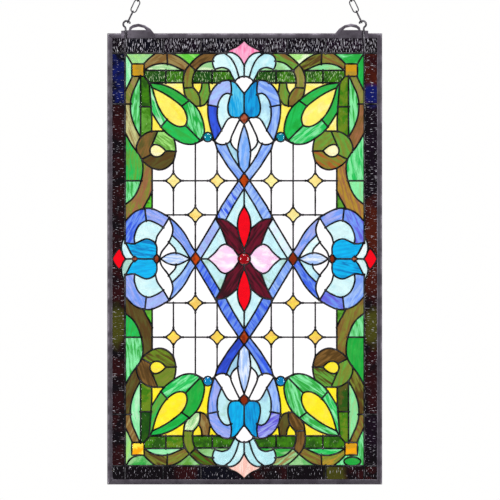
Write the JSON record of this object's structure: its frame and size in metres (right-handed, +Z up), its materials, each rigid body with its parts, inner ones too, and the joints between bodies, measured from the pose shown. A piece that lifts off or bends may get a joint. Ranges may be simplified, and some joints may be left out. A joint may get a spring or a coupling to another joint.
{
  "type": "hanging stained glass window panel",
  "caption": "Tall rectangular leaded glass panel with fleur-de-lis, leaf corners, clear lattice and a red flower, in a zinc frame hung by light chains.",
  "frame": {"origin": "midway between the centres of the two end rings of the chains, where the panel hangs", "axes": "+X to the viewer's right along the panel's width, +Z up, and the panel's front faces -Y"},
  "size_m": [0.508, 0.0196, 0.9311],
  "materials": {
    "solder": "black patina on soldered seams, softly shiny, with swollen joints",
    "zinc_channel": "zinc channel darkened with black patina, satin",
    "dark_wire": "dark steel wire, satin",
    "border_glass": "rippled very dark purple glass with blue and brown passages",
    "vine_glass": "streaky olive, brown and green sheet glass with pale green pieces",
    "corner_jewel": "cut amber jewel",
    "scroll_glass": "streaky brown, olive and yellow sheet glass",
    "bar_glass": "hammered green and yellow glass",
    "leaf_glass": "streaky green glass round a pale yellow core",
    "lattice_glass": "clear glass, plain and smooth",
    "rondelle": "teal cabochon",
    "fleur_glass": "wispy white, aqua and blue glass",
    "diamond_tip": "pink wispy glass",
    "side_flower_glass": "pale aqua, teal and periwinkle glass",
    "side_diamond": "clear cherry red glass",
    "centre_flower_glass": "cherry red, maroon and pale pink glass on aqua",
    "centre_nugget": "ruby nugget"
  },
  "bodies": {
    "root": {"solder_net": "solder", "border_glass_top_left": "border_glass", "vine_glass_top_left": "vine_glass", "corner_jewel_top_left": "corner_jewel", "scroll_glass_top_left": "scroll_glass", "bar_glass_top_left": "bar_glass", "leaf_glass_top_left": "leaf_glass", "lattice_glass_top_left": "lattice_glass", "rondelle_top_left": "rondelle", "border_glass_top_right": "border_glass", "vine_glass_top_right": "vine_glass", "corner_jewel_top_right": "corner_jewel", "scroll_glass_top_right": "scroll_glass", "bar_glass_top_right": "bar_glass", "leaf_glass_top_right": "leaf_glass", "lattice_glass_top_right": "lattice_glass", "rondelle_top_right": "rondelle", "border_glass_bottom_left": "border_glass", "vine_glass_bottom_left": "vine_glass", "corner_jewel_bottom_left": "corner_jewel", "scroll_glass_bottom_left": "scroll_glass", "bar_glass_bottom_left": "bar_glass", "leaf_glass_bottom_left": "leaf_glass", "lattice_glass_bottom_left": "lattice_glass", "rondelle_bottom_left": "rondelle", "border_glass_bottom_right": "border_glass", "vine_glass_bottom_right": "vine_glass", "corner_jewel_bottom_right": "corner_jewel", "scroll_glass_bottom_right": "scroll_glass", "bar_glass_bottom_right": "bar_glass", "leaf_glass_bottom_right": "leaf_glass", "lattice_glass_bottom_right": "lattice_glass", "rondelle_bottom_right": "rondelle", "fleur_glass_top": "fleur_glass", "fleur_glass_bottom": "fleur_glass", "diamond_tip_top": "diamond_tip", "diamond_tip_bottom": "diamond_tip", "side_flower_glass_left": "side_flower_glass", "side_flower_glass_right": "side_flower_glass", "side_diamond_left": "side_diamond", "side_diamond_right": "side_diamond", "centre_flower_glass": "centre_flower_glass", "centre_nugget": "centre_nugget", "rail_top": "zinc_channel", "rail_right": "zinc_channel", "rail_bottom": "zinc_channel", "rail_left": "zinc_channel", "hanger_plate_left": "zinc_channel", "hook_left": "dark_wire", "chain_link_left_1": "dark_wire", "chain_link_left_2": "dark_wire", "chain_link_left_3": "dark_wire", "end_ring_left": "dark_wire", "hanger_plate_right": "zinc_channel", "hook_right": "dark_wire", "chain_link_right_1": "dark_wire", "chain_link_right_2": "dark_wire", "chain_link_right_3": "dark_wire", "end_ring_right": "dark_wire"}
  },
  "joints": []
}
